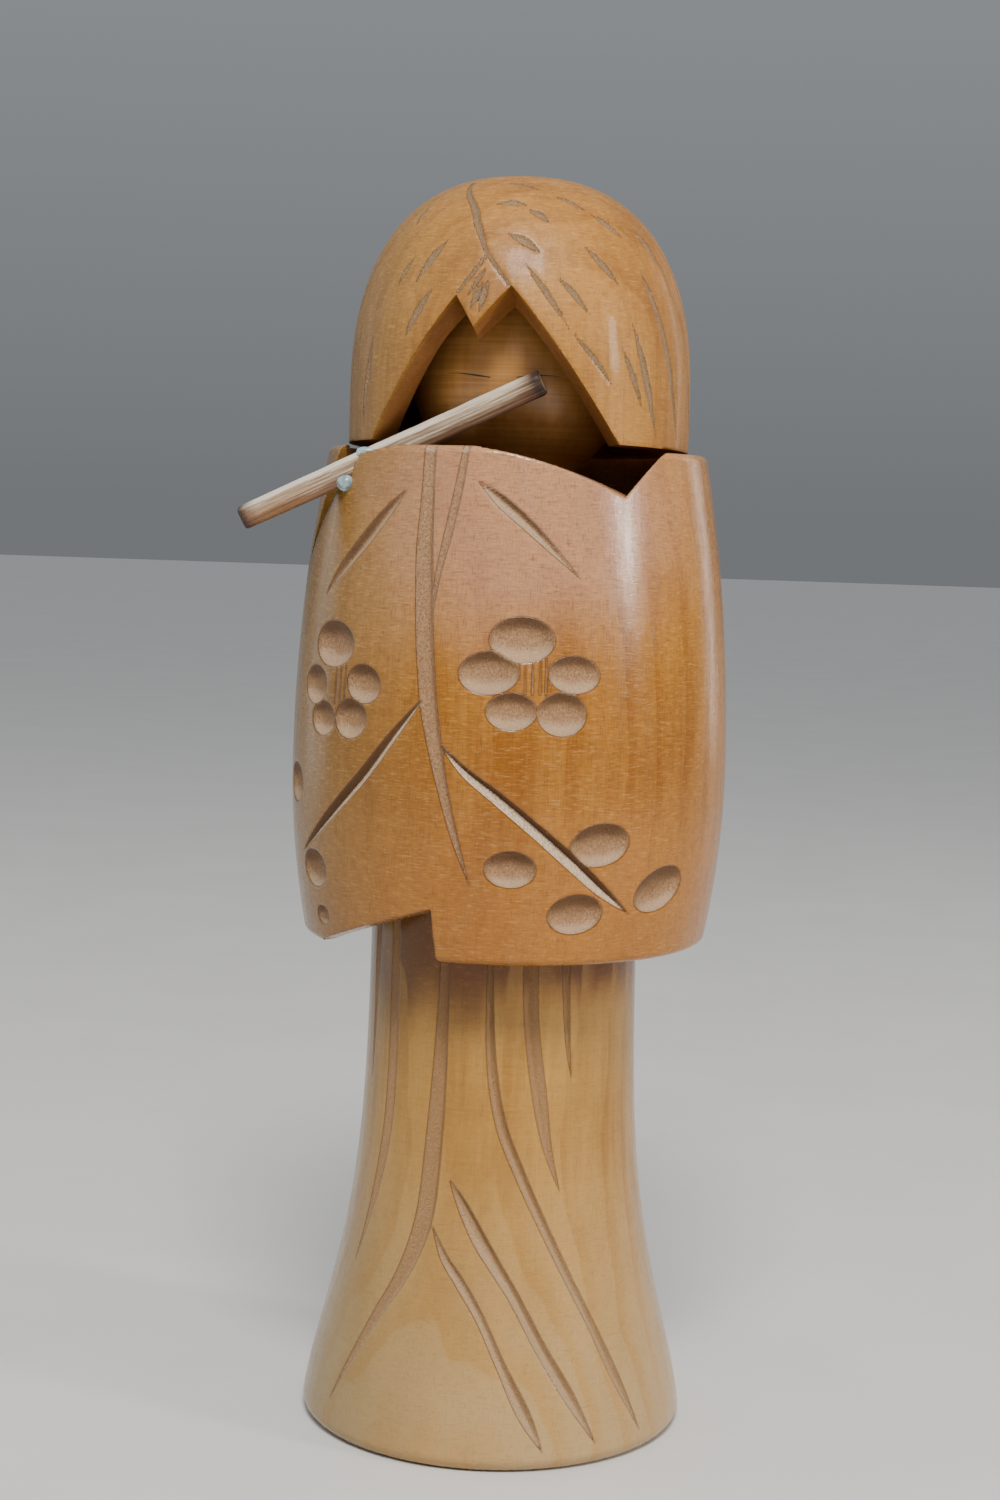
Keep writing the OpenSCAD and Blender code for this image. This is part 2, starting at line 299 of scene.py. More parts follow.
# The back of the head repeats such strokes in two staggered rows
BACK_STROKES = range(104, 260, 13)
for k, azimuth in enumerate(BACK_STROKES):
    high = 203 + 5 * (k % 2)
    HAIR_STROKES.append((azimuth, high, azimuth + 3, high - 13, 0.42))
    HAIR_STROKES.append((azimuth + 7, 188 - 4 * (k % 2), azimuth + 8, 176.5, 0.4))
STROKE_WIDTH, STROKE_BOW, STROKE_STEEP, STROKE_LEAN, STROKE_END = 1.6, 0.4, 0.65, 0.2, 0.05
for az0, z0, az1, z1, half in HAIR_STROKES:
    middle = ((az0 + az1) / 2, (z0 + z1) / 2 + STROKE_BOW, half * STROKE_WIDTH)
    HAIR_GROOVES.append(([(az0, z0, STROKE_END), middle, (az1, z1, STROKE_END)], STROKE_STEEP, STROKE_LEAN))

# The two closed eyes of the face, as shallow drawn lines
EYE_Z = 185.1
EYE_LINES = [
    ([(-31, EYE_Z + 0.2, 0.05), (-24, EYE_Z + 0.2, 0.09), (-15, EYE_Z - 0.1, 0.16),
      (-6.6, EYE_Z - 0.5, 0.12)], 0.5, 0),
    ([(6.6, EYE_Z - 0.4, 0.1), (15, EYE_Z, 0.14), (22, EYE_Z + 0.1, 0.12), (30, EYE_Z, 0.05)], 0.5, 0),
]

# ---------------------------------------------------------------- meshes

def new_object(name, points, faces):
    """A mesh object in the scene, from points in millimetres."""
    mesh = bpy.data.meshes.new(name)
    mesh.from_pydata((np.asarray(points) * MM).tolist(), [], faces)
    mesh.update()
    thing = bpy.data.objects.new(name, mesh)
    bpy.context.scene.collection.objects.link(thing)
    return thing


def turned(name, rows):
    """A closed piece from rings of points, from its first pole outward, up, and in to the last."""
    count = max(len(row) for row in rows)
    starts = np.cumsum([0] + [len(row) for row in rows])
    here, after = np.arange(count), np.roll(np.arange(count), -1)
    faces = []
    for low, high, s, t in zip(rows, rows[1:], starts, starts[1:]):
        if len(low) == 1:
            corners = np.stack([here * 0 + s, t + after, t + here], -1)
        elif len(high) == 1:
            corners = np.stack([s + here, s + after, here * 0 + t], -1)
        else:
            corners = np.stack([s + here, s + after, t + after, t + here], -1)
        faces += corners.tolist()
    return new_object(name, np.concatenate(rows), faces)


def facing_out(thing):
    """Turns a closed mesh's faces outward."""
    work = bmesh.new()
    work.from_mesh(thing.data)
    bmesh.ops.recalc_face_normals(work, faces=work.faces)
    work.to_mesh(thing.data)
    work.free()
    return thing


def block(near, far):
    """A closed cutter between two outlines that have the same number of points."""
    n = len(near)
    faces = [list(range(n)), list(range(2 * n - 1, n - 1, -1))]
    faces += [[(k + 1) % n, k, n + k, n + (k + 1) % n] for k in range(n)]
    return facing_out(new_object("cutter", [*near, *far], faces))


def prism(azimuth, outline, far=50.0):
    """A block from the axis outward at an azimuth, with its outline given as [across, height]."""
    a = radians(azimuth)
    across, out = np.array([cos(a), sin(a), 0]), np.array([sin(a), -cos(a), 0])
    flat = np.array([u * across + np.array([0, 0, z]) for u, z in outline])
    return block(flat, flat + far * out)


def cut_away(piece, *cutters):
    """Cuts the given closed meshes out of a piece and removes them."""
    for cutter in cutters:
        step = piece.modifiers.new("cut", "BOOLEAN")
        step.operation, step.object, step.solver = "DIFFERENCE", cutter, "MANIFOLD"
    graph = bpy.context.evaluated_depsgraph_get()
    made = bpy.data.meshes.new_from_object(piece.evaluated_get(graph), depsgraph=graph)
    piece.modifiers.clear()
    old, piece.data = piece.data, made
    made.name = piece.name
    bpy.data.meshes.remove(old)
    for cutter in cutters:
        bpy.data.meshes.remove(cutter.data)


def points_of(mesh):
    """A mesh's points, in millimetres."""
    flat = np.empty(len(mesh.vertices) * 3, np.float64)
    mesh.vertices.foreach_get("co", flat)
    return flat.reshape(-1, 3) / MM


def store(mesh, name, values):
    """Keeps a number or a vector for every point of a mesh, for the materials to read."""
    kind, key = ("FLOAT", "value") if np.ndim(values) == 1 else ("FLOAT_VECTOR", "vector")
    mesh.attributes.new(name, kind, "POINT").data.foreach_set(key, np.ravel(values).astype(np.float32))


FRESH_STEEP = 1.1       # steeper cuts than this show clean pale wood, with painted light and shade
ON_SIDE = 0.03          # points this near the outline belong to the outer surface
SLOPE_STEP = 0.01


def edges_of(mesh):
    """The two points of every edge, and the normals of the two faces that meet at it."""
    ends = np.empty(len(mesh.edges) * 2, np.int32)
    mesh.edges.foreach_get("vertices", ends)
    corner_edges = np.empty(len(mesh.loops), np.int32)
    mesh.loops.foreach_get("edge_index", corner_edges)
    sizes = np.empty(len(mesh.polygons), np.int32)
    mesh.polygons.foreach_get("loop_total", sizes)
    normals = np.empty(len(sizes) * 3)
    mesh.polygons.foreach_get("normal", normals)
    corner_faces = np.repeat(np.arange(len(sizes)), sizes)
    beside = corner_faces[np.argsort(corner_edges, kind="stable")].reshape(-1, 2)
    return ends.reshape(-1, 2), normals.reshape(-1, 3)[beside]


def pulls(points, ends, normals):
    """Unit vectors out of the corners at the ends of the given edges, and zero elsewhere."""
    pull = np.zeros_like(points)
    for side in (0, 1):
        for end in (0, 1):
            np.add.at(pull, ends[:, end], normals[:, side])
    length = np.linalg.norm(pull, axis=1, keepdims=True)
    return np.where(length > TINY, pull / np.maximum(length, TINY), 0)


def outward(points, radius):
    """Unit normals of the surface of revolution at points on it."""
    r, z = np.hypot(points[:, 0], points[:, 1]), points[:, 2]
    slope = (radius(z + SLOPE_STEP) - radius(z - SLOPE_STEP)) / (2 * SLOPE_STEP)
    out = points * [1, 1, 0] / np.maximum(r, TINY)[:, None] + [0, 0, 1] * -slope[:, None]
    return out / np.maximum(np.linalg.norm(out, axis=1, keepdims=True), TINY)


def finish_piece(piece, radius=None, grooves=(), gouges=(), ease=0.1, sharp_angle=32.0):
    """Marks the sharp edges, eases them a little, and carves the outer surface."""
    mesh = piece.data
    points = points_of(mesh)
    ends, normals = edges_of(mesh)
    sharp = (normals[:, 0] * normals[:, 1]).sum(1) < cos(radians(sharp_angle))
    mesh.polygons.foreach_set("use_smooth", np.ones(len(mesh.polygons), bool))
    mesh.attributes.new("sharp_edge", "BOOLEAN", "EDGE").data.foreach_set("value", sharp)

    mark, fresh_lit_cut = np.full((2, len(points)), -1.0)
    carved = points.copy()
    if radius is not None:
        outer = abs(np.hypot(points[:, 0], points[:, 1]) - radius(points[:, 2])) < ON_SIDE
        depth, mark[outer] = carve(points[outer], radius, grooves, gouges)
        deep = [cut for cut in grooves if cut[1] > FRESH_STEEP]
        fresh_lit_cut[outer] = carve(points[outer], radius, deep)[1]
        carved[outer] -= outward(points[outer], radius) * depth[:, None]
    carved -= pulls(points, ends[sharp], normals[sharp]) * ease
    mesh.vertices.foreach_set("co", np.ravel(carved * MM))
    mesh.update()
    store(mesh, "cut", mark)
    store(mesh, "fresh_lit_cut", np.maximum(fresh_lit_cut, 0))
    return piece


def levels(low, high, step):
    """Heights from low to high, about a step apart."""
    return np.linspace(low, high, max(2, int(round((high - low) / step)) + 1))


def disc(azimuth, r0, r1, z, count=3):
    """Rings of a flat face, without its last one."""
    return [ring(azimuth, r, z) for r in np.linspace(r0, r1, count + 1)[:-1]]


def tube_wall(azimuth, r, z0, z1, count=4):
    """Rings of a straight wall, without its last one."""
    return [ring(azimuth, r, z) for z in np.linspace(z0, z1, count + 1)[:-1]]


def skirt_side(z):
    """The skirt's side with its foot edge rounded under."""
    past = np.clip(FOOT_EDGE_R - z, 0, FOOT_EDGE_R)
    return skirt_r(np.maximum(z, FOOT_EDGE_R)) - FOOT_EDGE_R + np.sqrt(FOOT_EDGE_R ** 2 - past ** 2)


def make_skirt():
    """The flared pillar with its tenon."""
    az = columns(-66, 66, 0.62, 3.0)
    edge_centre = float(skirt_r(FOOT_EDGE_R)) - FOOT_EDGE_R
    rows = [pole(0), *disc(az, 8, edge_centre, 0)]
    for a in np.radians(range(0, 90, 10)):
        rows.append(ring(az, edge_centre + FOOT_EDGE_R * sin(a), FOOT_EDGE_R * (1 - cos(a))))
    rows += [ring(az, skirt_r(z), z) for z in levels(FOOT_EDGE_R, 90, 0.42)]
    rows += [ring(az, skirt_r(z), z) for z in levels(92, SHOULDER_Z, 3)]
    rows += disc(az, 20, TENON_R, SHOULDER_Z) + tube_wall(az, TENON_R, SHOULDER_Z, SKIRT_HIGH[2])
    rows += [ring(az, TENON_R, SKIRT_HIGH[2]), ring(az, 4, SKIRT_HIGH[2]), pole(SKIRT_HIGH[2])]
    return finish_piece(turned("skirt_turned", rows), skirt_side, SKIRT_GROOVES)


# The front of the coat's rim is one arc, square to TOP_AZIMUTH, that ends in a notch
TOP_AZIMUTH, TOP_ARC_R, TOP_ARC_U, TOP_ARC_Z = -3, 63.0, -7.0, 173.1
TOP_LEFT_U, NOTCH_U, NOTCH_FLANK = -26.0, 23.5, (29.2, 174.0)
SLIT_AZIMUTH = -63
SLIT_OUTLINE = [(-6.7, 151), (13.8, 174.5), (4.2, 174.5), (0.2, 164.2)]
HEM_AZIMUTH, HEM_STEP_U, HEM_STEP_Z, HEM_END_U = -35, 15.2, 96.3, -12.0


def top_cutter():
    """Everything above the coat's front rim, with the notch's flank at its end."""
    spread = np.linspace(TOP_LEFT_U, NOTCH_U, 44)
    arc = [(u, TOP_ARC_Z - TOP_ARC_R + sqrt(TOP_ARC_R ** 2 - (u - TOP_ARC_U) ** 2)) for u in spread]
    return prism(TOP_AZIMUTH, arc + [NOTCH_FLANK, (TOP_LEFT_U, NOTCH_FLANK[1])])


def hem_cutter():
    """The step in the coat's hem, which runs out along a slope."""
    below = COAT_LOW[2] - 1
    slope = (HEM_STEP_Z - COAT_LOW[2]) / (HEM_STEP_U - HEM_END_U)
    return prism(HEM_AZIMUTH, [(HEM_STEP_U, below), (HEM_STEP_U, HEM_STEP_Z), (HEM_END_U - 1 / slope, below)])


FLUTE_OUTER_END, FLUTE_INNER_END = np.array([-44.15, -20.6, 159.8]), np.array([7, -21.3, 183.9])
FLUTE_R, FLUTE_SEAT_GAP = 2.35, 0.05
FLUTE_RUN = FLUTE_INNER_END - FLUTE_OUTER_END
FLUTE_L = float(np.linalg.norm(FLUTE_RUN))
FLUTE_ALONG = FLUTE_RUN / FLUTE_L
FLUTE_SIDE = np.cross([0, 0, 1], FLUTE_ALONG) / np.linalg.norm(np.cross([0, 0, 1], FLUTE_ALONG))
FLUTE_UP = np.cross(FLUTE_ALONG, FLUTE_SIDE)


def flute_spot(along, side, up):
    """A point given along, beside and above the flute's axis, from its outer end."""
    return FLUTE_OUTER_END + along * FLUTE_ALONG + side * FLUTE_SIDE + up * FLUTE_UP


def seat_cutter():
    """The round seat that the flute lies in, through the coat's corner."""
    r, sides = FLUTE_R + FLUTE_SEAT_GAP, 40
    turn = [2 * pi * k / sides for k in range(sides)]
    return block(*[[flute_spot(end, r * cos(a), r * sin(a)) for a in turn] for end in (-1, FLUTE_L + 1)])


def make_coat():
    """The hollow coat: its web, two bores, open front and stepped hem."""
    az = columns(-76, 68, 0.54, 2.6)
    low, high = COAT_LOW[2], COAT_HIGH[2]
    rim = [RIM_EDGE_R * (1 - cos(a)) for a in np.radians(range(0, 90, 13))]
    heights = [low + h for h in rim] + list(levels(low + RIM_EDGE_R, high - RIM_EDGE_R, 0.4))
    heights += [high - h for h in reversed(rim)]
    socket_top, socket_r = SKIRT_HIGH[2] + GLUE_LINE, TENON_R + GLUE_LINE
    rows = [pole(socket_top), ring(az, socket_r, socket_top)]
    rows += [ring(az, socket_r, SHOULDER_Z), ring(az, 20, SHOULDER_Z)]
    rows += tube_wall(az, LOWER_BORE_R, SHOULDER_Z, low, 8)
    rows += [ring(az, LOWER_BORE_R, low), ring(az, 34, low)]
    rows += [ring(az, coat_r(z), z) for z in heights]
    rows += [ring(az, UPPER_BORE_R + 0.8, high)] + tube_wall(az, UPPER_BORE_R, high, WEB_TOP_Z, 12)
    rows += [ring(az, r, WEB_TOP_Z) for r in (UPPER_BORE_R, 18, PEG_R + PEG_ROOM)]
    rows += [ring(az, PEG_R + PEG_ROOM, SOCKET_Z), pole(SOCKET_Z)]
    coat = turned("coat_turned", rows)
    cut_away(coat, top_cutter(), hem_cutter(), prism(SLIT_AZIMUTH, SLIT_OUTLINE), seat_cutter())
    return finish_piece(coat, coat_r, COAT_GROOVES, COAT_GOUGES, ease=0.16)


# The face opening is a pyramid with its point behind the face: its outline at y = -WINDOW_Y
WINDOW_POINT_Y, WINDOW_Y, WINDOW_BACK_Y, WINDOW_Z = 24.0, 31.0, 4.0, 172.0
WINDOW_OUTLINE = [(-30.7, -1.5), (-7.4, 27.3), (-3.8, 21), (2.5, 28.9), (27.4, -1.5)]


def window_cutter():
    """The zigzag opening in front of the face."""
    outlines = []
    for y in (WINDOW_Y, WINDOW_BACK_Y):
        share = (WINDOW_POINT_Y + y) / (WINDOW_POINT_Y + WINDOW_Y)
        outlines.append([(x * share, -y, WINDOW_Z + h * share) for x, h in WINDOW_OUTLINE])
    return block(*outlines)


def rim_cutter():
    """Everything below the cap's rim, which tips up a little towards the front."""
    half, deep = 40, 20
    layers = []
    for z in (-deep, 0):
        corners = [(-half, -half), (half, -half), (half, half), (-half, half)]
        layers.append([(x, y * cos(RIM_TILT) + z * sin(RIM_TILT),
                        RIM_Z - y * sin(RIM_TILT) + z * cos(RIM_TILT)) for x, y in corners])
    return block(*layers)


HAIR_BLANK_Z = 168.0


def make_hair():
    """The hollow cap with its zigzag opening."""
    az = columns(-180, 179.25, 0.75, 3.0)
    dome = [radians(a) for a in np.linspace(0, 90, 120)[1:]]
    power = 2 / CROWN_POWER
    crown = [(HAIR_R * cos(a) ** power, CROWN_Z + (TOP_Z - CROWN_Z) * sin(a) ** power) for a in dome]
    socket_top, socket_r = SPIGOT_Z + GLUE_LINE, SPIGOT_R + GLUE_LINE
    rows = [pole(socket_top), ring(az, socket_r, socket_top), ring(az, socket_r, SEAT_Z)]
    rows += [ring(az, hollow_r(z), z) for z in reversed(levels(HOLLOW_Z, SEAT_Z, 1.6))]
    rows += tube_wall(az, HOLLOW_R, HOLLOW_Z, HAIR_BLANK_Z, 5) + [ring(az, HOLLOW_R, HAIR_BLANK_Z)]
    rows += [ring(az, 27, HAIR_BLANK_Z)]
    rows += [ring(az, HAIR_R, z) for z in levels(HAIR_BLANK_Z, CROWN_Z, 0.5)]
    rows += [ring(az, r, z) for r, z in crown[:-1]] + [pole(TOP_Z)]
    hair = turned("hair_carved", rows)
    cut_away(hair, window_cutter(), rim_cutter())
    return finish_piece(hair, hair_r, HAIR_GROOVES)


def make_face():
    """The ball of the face, with its neck and the spigot in the crown."""
    az = columns(-60, 60, 1.0, 3.0)
    seat_up = asin((SEAT_Z - FACE_Z) / FACE_CROWN_H)
    eyes_from = pi / 2 - 0.1       # finer rows from here up, for the eye lines
    below = [*np.linspace(asin(NECK_R / FACE_R), eyes_from, 80), *np.linspace(eyes_from, pi / 2, 30)[1:]]
    ball = [(FACE_R * sin(a), FACE_Z - FACE_R * cos(a)) for a in below]
    ball += [(FACE_R * cos(a), FACE_Z + FACE_CROWN_H * sin(a)) for a in np.linspace(0, seat_up, 90)[1:]]
    low = FACE_LOW[2]
    bore_top = PEG_HIGH[2]
    rows = [pole(bore_top), ring(az, PEG_R, bore_top), ring(az, PEG_R, low)]
    rows += tube_wall(az, NECK_R, low, ball[0][1], 12)
    rows += [ring(az, r, z) for r, z in ball]
    rows += [ring(az, SPIGOT_R, SEAT_Z), ring(az, SPIGOT_R, SPIGOT_Z), pole(SPIGOT_Z)]
    return finish_piece(turned("face_turned", rows), face_r, EYE_LINES)


def ripple(x, seed, count=5):
    """Smooth noise of about unit height made of a few waves with set phases."""
    waves = np.arange(1, count + 1)
    phases = (waves * 2.399 + seed * 1.713) % (2 * pi)
    return sum(np.sin(x * w * (1 + 0.13 * w) + p) / w for w, p in zip(waves, phases)) / 1.6


SQUARENESS = 4.0        # of the flute's section, where 2 is round
FLUTE_TURN, FLUTE_TWIST = radians(12), 0.0035       # its turn at the outer end, and per millimetre
SECTION_SIZE, FRAY_SINK = 0.87, 0.012
WORN_END, WORN_REACH = 0.06, 0.3
CAP_RINGS = (0.72, 0.35)


def make_flute():
    """A whittled stick of bamboo: four soft facets, a frayed surface and scorched ends."""
    sides, stations = 56, np.linspace(0, FLUTE_L, 170)
    turn = np.arange(sides) * 2 * pi / sides
    section = (abs(np.cos(turn)) ** SQUARENESS + abs(np.sin(turn)) ** SQUARENESS) ** (-1 / SQUARENESS)
    rows, places = [], []
    for s in stations:
        angle = turn + FLUTE_TURN + FLUTE_TWIST * s
        worn = WORN_END * np.exp(-min(s, FLUTE_L - s) / WORN_REACH)
        fray = 0.035 * ripple(turn * 7 + 0.02 * s, 3) + 0.02 * ripple(turn * 3 + s * 0.11, 8)
        swell = 0.03 * ripple(np.array(s * 0.12), 5)
        r = FLUTE_R * (SECTION_SIZE * section + fray - worn + swell - FRAY_SINK)
        place = np.stack([turn * 0 + s, r * np.cos(angle), r * np.sin(angle)], -1)
        rows.append(np.array([flute_spot(*spot) for spot in place]))
        places.append(place)
    for end in (0, -1):
        rim, place = rows[end], places[end]
        centre = rim.mean(0)
        caps = [centre + (rim - centre) * k for k in CAP_RINGS] + [centre[None]]
        spots = [place * [1, k, k] for k in CAP_RINGS] + [place[:1] * [1, 0, 0]]
        if end == 0:
            rows, places = caps[::-1] + rows, spots[::-1] + places
        else:
            rows, places = rows + caps, places + spots
    flute = facing_out(turned("flute_stick", rows))
    finish_piece(flute, ease=0.05, sharp_angle=50)
    store(flute.data, "place", np.concatenate(places))
    return flute


def make_blob(name, low, high, seed, squash):
    """A drop of glue: a ball drawn out of round, held in the box of the piece it stands for."""
    centre, half = (np.array(low) + high) / 2, (np.array(high) - low) / 2
    az = np.linspace(0, 360, 49)[:-1]
    rings = [ring(az, cos(a), sin(a)) for a in np.radians(np.linspace(-80, 80, 22))]
    blob = turned(name, [pole(-1.0), *rings, pole(1.0)])
    unit = points_of(blob.data)
    x, y, z = unit.T
    swell = 0.93 + 0.06 * ripple(x * 3 + z * 2, seed) + 0.05 * ripple(y * 4, seed + 2)
    shaped = centre + unit * np.clip(swell, 0.8, 1.0)[:, None] * half * squash
    blob.data.vertices.foreach_set("co", np.ravel(shaped * MM))
    blob.data.polygons.foreach_set("use_smooth", np.ones(len(blob.data.polygons), bool))
    blob.data.update()
    return blob

# ---------------------------------------------------------------- materials

def rgb(red, green, blue):
    """A colour given in sRGB from 0 to 255, as Blender's linear values."""
    parts = np.array([red, green, blue]) / 255
    linear = np.where(parts <= 0.04045, parts / 12.92, ((parts + 0.055) / 1.055) ** 2.4)
    return (*linear.tolist(), 1.0)


class Shader:
    """One material's node tree, with a short call for each kind of node it needs."""

    def __init__(self, name):
        self.material = bpy.data.materials.new(name)
        self.material.use_nodes = True
        self.tree = self.material.node_tree
        self.tree.nodes.clear()

    def add(self, kind, sockets=(), **settings):
        made = self.tree.nodes.new(kind)
        for key, value in settings.items():
            setattr(made, key, value)
        for key, value in dict(sockets).items():
            self.put(made.inputs[key], value)
        return made

    def put(self, socket, value):
        if isinstance(value, bpy.types.NodeSocket):
            self.tree.links.new(value, socket)
        else:
            socket.default_value = value

    def math(self, operation, a, b=0.0):
        return self.add("ShaderNodeMath", {0: a, 1: b}, operation=operation).outputs[0]

    def times(self, a, b):
        return self.math("MULTIPLY", a, b)

    def total(self, *terms, base=None):
        """Adds up pairs of a value and its weight, onto a base if there is one."""
        for value, weight in terms:
            part = self.times(value, weight)
            base = part if base is None else self.math("ADD", base, part)
        return base

    def stir(self, value, noise, reach):
        """Shifts a value by noise, up to half the reach either way."""
        return self.math("ADD", value, self.times(self.math("SUBTRACT", noise, 0.5), reach))

    def vector(self, operation, a, b=(0.0, 0.0, 0.0), out=0):
        return self.add("ShaderNodeVectorMath", {0: a, 1: b}, operation=operation).outputs[out]

    def mix(self, share, a, b):
        return self.add("ShaderNodeMix", {0: share, 6: a, 7: b}, data_type="RGBA").outputs[2]

    def tint(self, colour, other, where, amount):
        """Brings another colour in, where a value is high and up to an amount."""
        return self.mix(self.times(where, amount), colour, other)

    def span(self, value, low, high, to_low=0.0, to_high=1.0):
        """Goes smoothly from to_low at low to to_high at high. Low may be the larger."""
        return self.add("ShaderNodeMapRange", {0: value, 1: low, 2: high, 3: to_low, 4: to_high},
                        interpolation_type="SMOOTHSTEP").outputs[0]

    def noise(self, place, scale, detail=3.0, rough=0.55):
        """Noise in a stretched space: scale gives waves per millimetre along x, y and z."""
        stretched = self.vector("MULTIPLY", place, scale)
        return self.add("ShaderNodeTexNoise", {"Vector": stretched, "Scale": 1.0, "Detail": detail,
                                               "Roughness": rough}).outputs[0]

    def attribute(self, name, out="Fac"):
        return self.add("ShaderNodeAttribute", attribute_name=name).outputs[out]

    def millimetres(self):
        coordinates = self.add("ShaderNodeTexCoord").outputs["Object"]
        return self.vector("MULTIPLY", coordinates, (1 / MM,) * 3)

    def bump(self, height, depth_mm, normal=None):
        sockets = {"Strength": 1.0, "Distance": depth_mm * MM, "Height": height}
        if normal is not None:
            sockets["Normal"] = normal
        return self.add("ShaderNodeBump", sockets).outputs[0]

    def surface(self, **sockets):
        names = {key.replace("_", " "): value for key, value in sockets.items()}
        made = self.add("ShaderNodeBsdfPrincipled", names)
        out = self.add("ShaderNodeOutputMaterial")
        self.tree.links.new(made.outputs[0], out.inputs[0])
        return self.material


class Wood(Shader):
    """The shader of lacquered wood, with the noises that its parts share."""

    def __init__(self, name, seed):
        super().__init__(name)
        self.here = self.millimetres()
        self.place = self.vector("ADD", self.here, (seed * 37.0, seed * 11.0, seed * 23.0))
        self.height = self.add("ShaderNodeSeparateXYZ", {0: self.here}).outputs[2]
        self.cloud = self.noise(self.place, (0.05, 0.05, 0.022))
        self.streak = self.noise(self.place, (0.9, 0.9, 0.035), 5.0, 0.6)
        self.fibre = self.noise(self.place, (4.2, 4.2, 0.36), 3.0, 0.65)
        self.hatch = self.noise(self.place, (0.6, 0.6, 4.0), 3.0, 0.65)
        self.speckle = self.noise(self.place, (3.1, 3.1, 2.1), 4.0, 0.7)


OLIVE, PORE, SHEEN, EDGE = rgb(100, 88, 50), rgb(96, 56, 20), rgb(204, 156, 94), rgb(78, 40, 12)
RAW, RAW_DARK_AND_SHADE, RAW_PALE_AND_LIT = rgb(160, 121, 84), rgb(84, 56, 34), rgb(214, 192, 162)
FRESH_PALE_AND_LIT, FRESH_GRAIN, FRESH_SHADE = rgb(218, 198, 170), rgb(176, 142, 104), rgb(98, 64, 36)
FLANK_SHADE = rgb(122, 72, 40)


def late_wood(s, pith, ring_gap):
    """The darker line of each growth ring. Pith is the rings' centre, and how they lean in height."""
    x, y, lean = pith
    flat = s.vector("MULTIPLY", s.vector("SUBTRACT", s.here, (x, y, 0.0)), (1.0, 1.0, lean))
    wander = s.noise(s.place, (0.06, 0.06, 0.02), 2.0)
    rings = s.math("DIVIDE", s.vector("LENGTH", flat, out=1), ring_gap)
    year = s.math("FRACT", s.total((wander, 1.6), base=rings))
    return s.times(s.span(year, 0.45, 0.93), s.span(year, 1.0, 0.95))


def wood_figure(s, light, dark, late, ring_depth, sheen_patch, tints_and_painted_light, weave):
    """The colour of the lacquered wood where nothing is carved, with any painted sheen, painted light and
    shade bands, and an olive tint towards -X that is partly painted cool light.
    """
    turning = s.noise(s.place, (0.03, 0.03, 1.6), 3.0, 0.6)
    tone = s.total((s.cloud, 1.15), (s.streak, 0.5), (turning, 0.25), (late, ring_depth))
    colour = s.mix(s.span(tone, 0.66, 1.36), light, dark)
    # Painted sheen: a paler, pinker patch round a centre.
    if sheen_patch is not None:
        centre, reach, sheen_colour = sheen_patch
        far = s.vector("LENGTH", s.vector("SUBTRACT", s.here, centre), out=1)
        colour = s.tint(colour, sheen_colour, s.span(s.stir(far, s.cloud, 40.0), reach, reach * 0.3), 0.6)
    uneven = s.stir(s.height, s.cloud, 24.0)
    # Bands of colour by height, some of them painted light or shade.
    for start, full, share, other in tints_and_painted_light:
        colour = s.tint(colour, s.tint(other, light, late, 0.45), s.span(uneven, start, full), share)
    # An olive tint towards -X: partly the wood's own colour, partly painted cool light from that side.
    to_right = s.vector("DOT_PRODUCT", s.here, (-1.0, 0.0, 0.0), out=1)
    colour = s.tint(colour, OLIVE, s.span(to_right, 0.0, 36.0), 0.6)
    colour = s.tint(colour, PORE, s.span(s.hatch, 0.5, 0.7), weave)
    colour = s.tint(colour, PORE, s.span(s.fibre, 0.5, 0.7), weave)
    return s.tint(colour, SHEEN, s.span(s.hatch, 0.47, 0.3), weave * 0.8)


def cap_flank_shade(s, colour):
    """Painted shade: browner, darker wood wherever the cap's surface is cut back from its turned outline."""
    girth = s.vector("LENGTH", s.vector("MULTIPLY", s.here, (1 / HAIR_R, 1 / HAIR_R, 0.0)), out=1)
    above = s.math("MAXIMUM", s.math("SUBTRACT", s.height, CROWN_Z), 0.0)
    rise = s.math("DIVIDE", above, TOP_Z - CROWN_Z)
    filled = s.math("ADD", s.math("POWER", girth, CROWN_POWER), s.math("POWER", rise, CROWN_POWER))
    return s.tint(colour, FLANK_SHADE, s.span(filled, 0.955, 0.9), 0.6)


def bare_wood(s, mark, raw, grit, up_light_share):
    """Raw wood in a cut: gritty, darker at its edge (partly dirt, partly painted shade), with painted shade
    where it faces down and painted light where it faces up. Where the cut is fresh it is clean pale wood,
    with the same painted light and shade."""
    bare = s.tint(raw, RAW_DARK_AND_SHADE, s.span(s.speckle, 0.47, 0.64), grit)
    bare = s.tint(bare, RAW_PALE_AND_LIT, s.span(s.speckle, 0.47, 0.34), grit * 0.6)
    # Darker along the inside of the cut's edge: partly dirt caught there, partly painted shade.
    bare = s.tint(bare, RAW_DARK_AND_SHADE, s.span(mark, 0.55, 0.05), 0.3)
    normal = s.add("ShaderNodeNewGeometry").outputs["Normal"]
    upward = s.add("ShaderNodeSeparateXYZ", {0: normal}).outputs[2]
    # Painted shade on walls that face down, and painted light on walls that face up.
    bare = s.tint(bare, RAW_DARK_AND_SHADE, s.span(upward, 0.02, -0.5), 0.7)
    bare = s.tint(bare, RAW_PALE_AND_LIT, s.span(upward, 0.1, 0.5), up_light_share)
    # Fresh cuts: painted light in pale wood on walls that face up, painted shade on walls that face down.
    pale = s.mix(s.span(s.fibre, 0.42, 0.66), FRESH_PALE_AND_LIT, FRESH_GRAIN)
    fresh_lit_and_shaded = s.mix(s.span(upward, -0.02, 0.26), FRESH_SHADE, pale)
    return s.tint(bare, fresh_lit_and_shaded, s.span(s.attribute("fresh_lit_cut"), 0.0, 0.08), 0.9)


